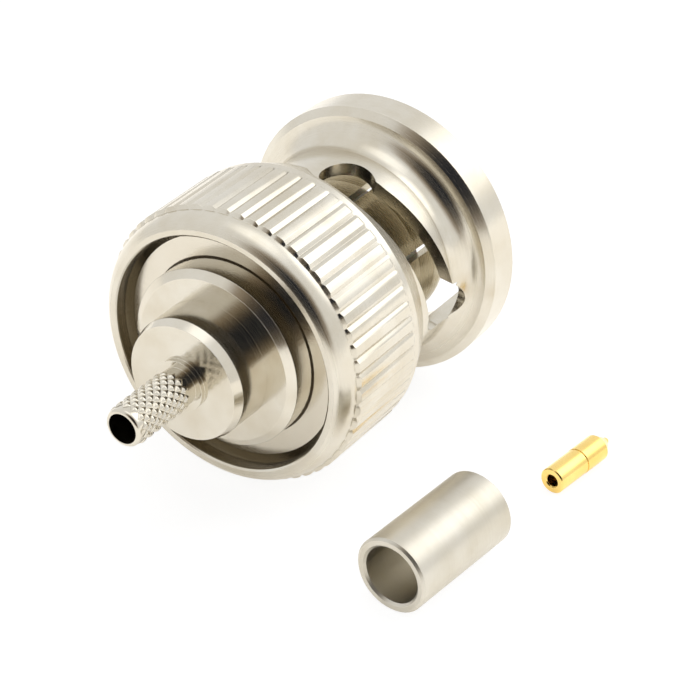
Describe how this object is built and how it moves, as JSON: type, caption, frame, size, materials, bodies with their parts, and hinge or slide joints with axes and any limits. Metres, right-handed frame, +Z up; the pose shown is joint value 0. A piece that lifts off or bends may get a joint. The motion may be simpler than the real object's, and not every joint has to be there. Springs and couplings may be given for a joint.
{
  "type": "bnc connector",
  "caption": "Bayonet-locking coaxial cable plug lying on its side with its crimp ferrule and gold centre contact beside it; the knurled sleeve turns and floats on the body.",
  "frame": {"origin": "on the plug's axis, at the floor of the insulator's front socket", "axes": "+X along the plug's axis towards the mating end, +Z up with the plug lying on its side, +Y completes the frame"},
  "size_m": [0.0223, 0.022, 0.0144],
  "materials": {
    "sleeve_nickel": "bright nickel plating over turned and knurled brass",
    "washer_nickel": "satin nickel plating over brass sheet with rolling marks",
    "spring_metal": "bright spring strip",
    "body_nickel": "bright nickel plating over turned brass",
    "contact_nickel": "nickel plating over turned spring bronze",
    "insulator_white": "matt white fluoropolymer",
    "gasket_rubber": "matt silicone rubber",
    "ferrule_nickel": "matt nickel plating over annealed tube",
    "contact_gold": "bright gold plating over turned brass"
  },
  "bodies": {
    "plug": {"connector_body": "body_nickel", "outer_contact": "contact_nickel", "insulator": "insulator_white", "gasket": "gasket_rubber", "cable_stem": "body_nickel", "wave_washer": "spring_metal", "crimp_ferrule": "ferrule_nickel", "centre_contact": "contact_gold"},
    "thrust_ring": {"thrust_washer": "washer_nickel"},
    "coupling": {"coupling_sleeve": "sleeve_nickel", "retaining_washer": "washer_nickel"}
  },
  "joints": [
    {"name": "coupling_slide", "type": "slide", "parent": "plug", "child": "thrust_ring", "axis": [1, 0, 0], "range_m": [0, 0.0006], "stiffness_N_per_m": 8000, "springref_m": -0.0005, "deforming": ["wave_washer"]},
    {"name": "coupling_turn", "type": "hinge", "parent": "thrust_ring", "child": "coupling", "pos_m": [0, 0, 0], "axis": [1, 0, 0], "continuous": true}
  ]
}
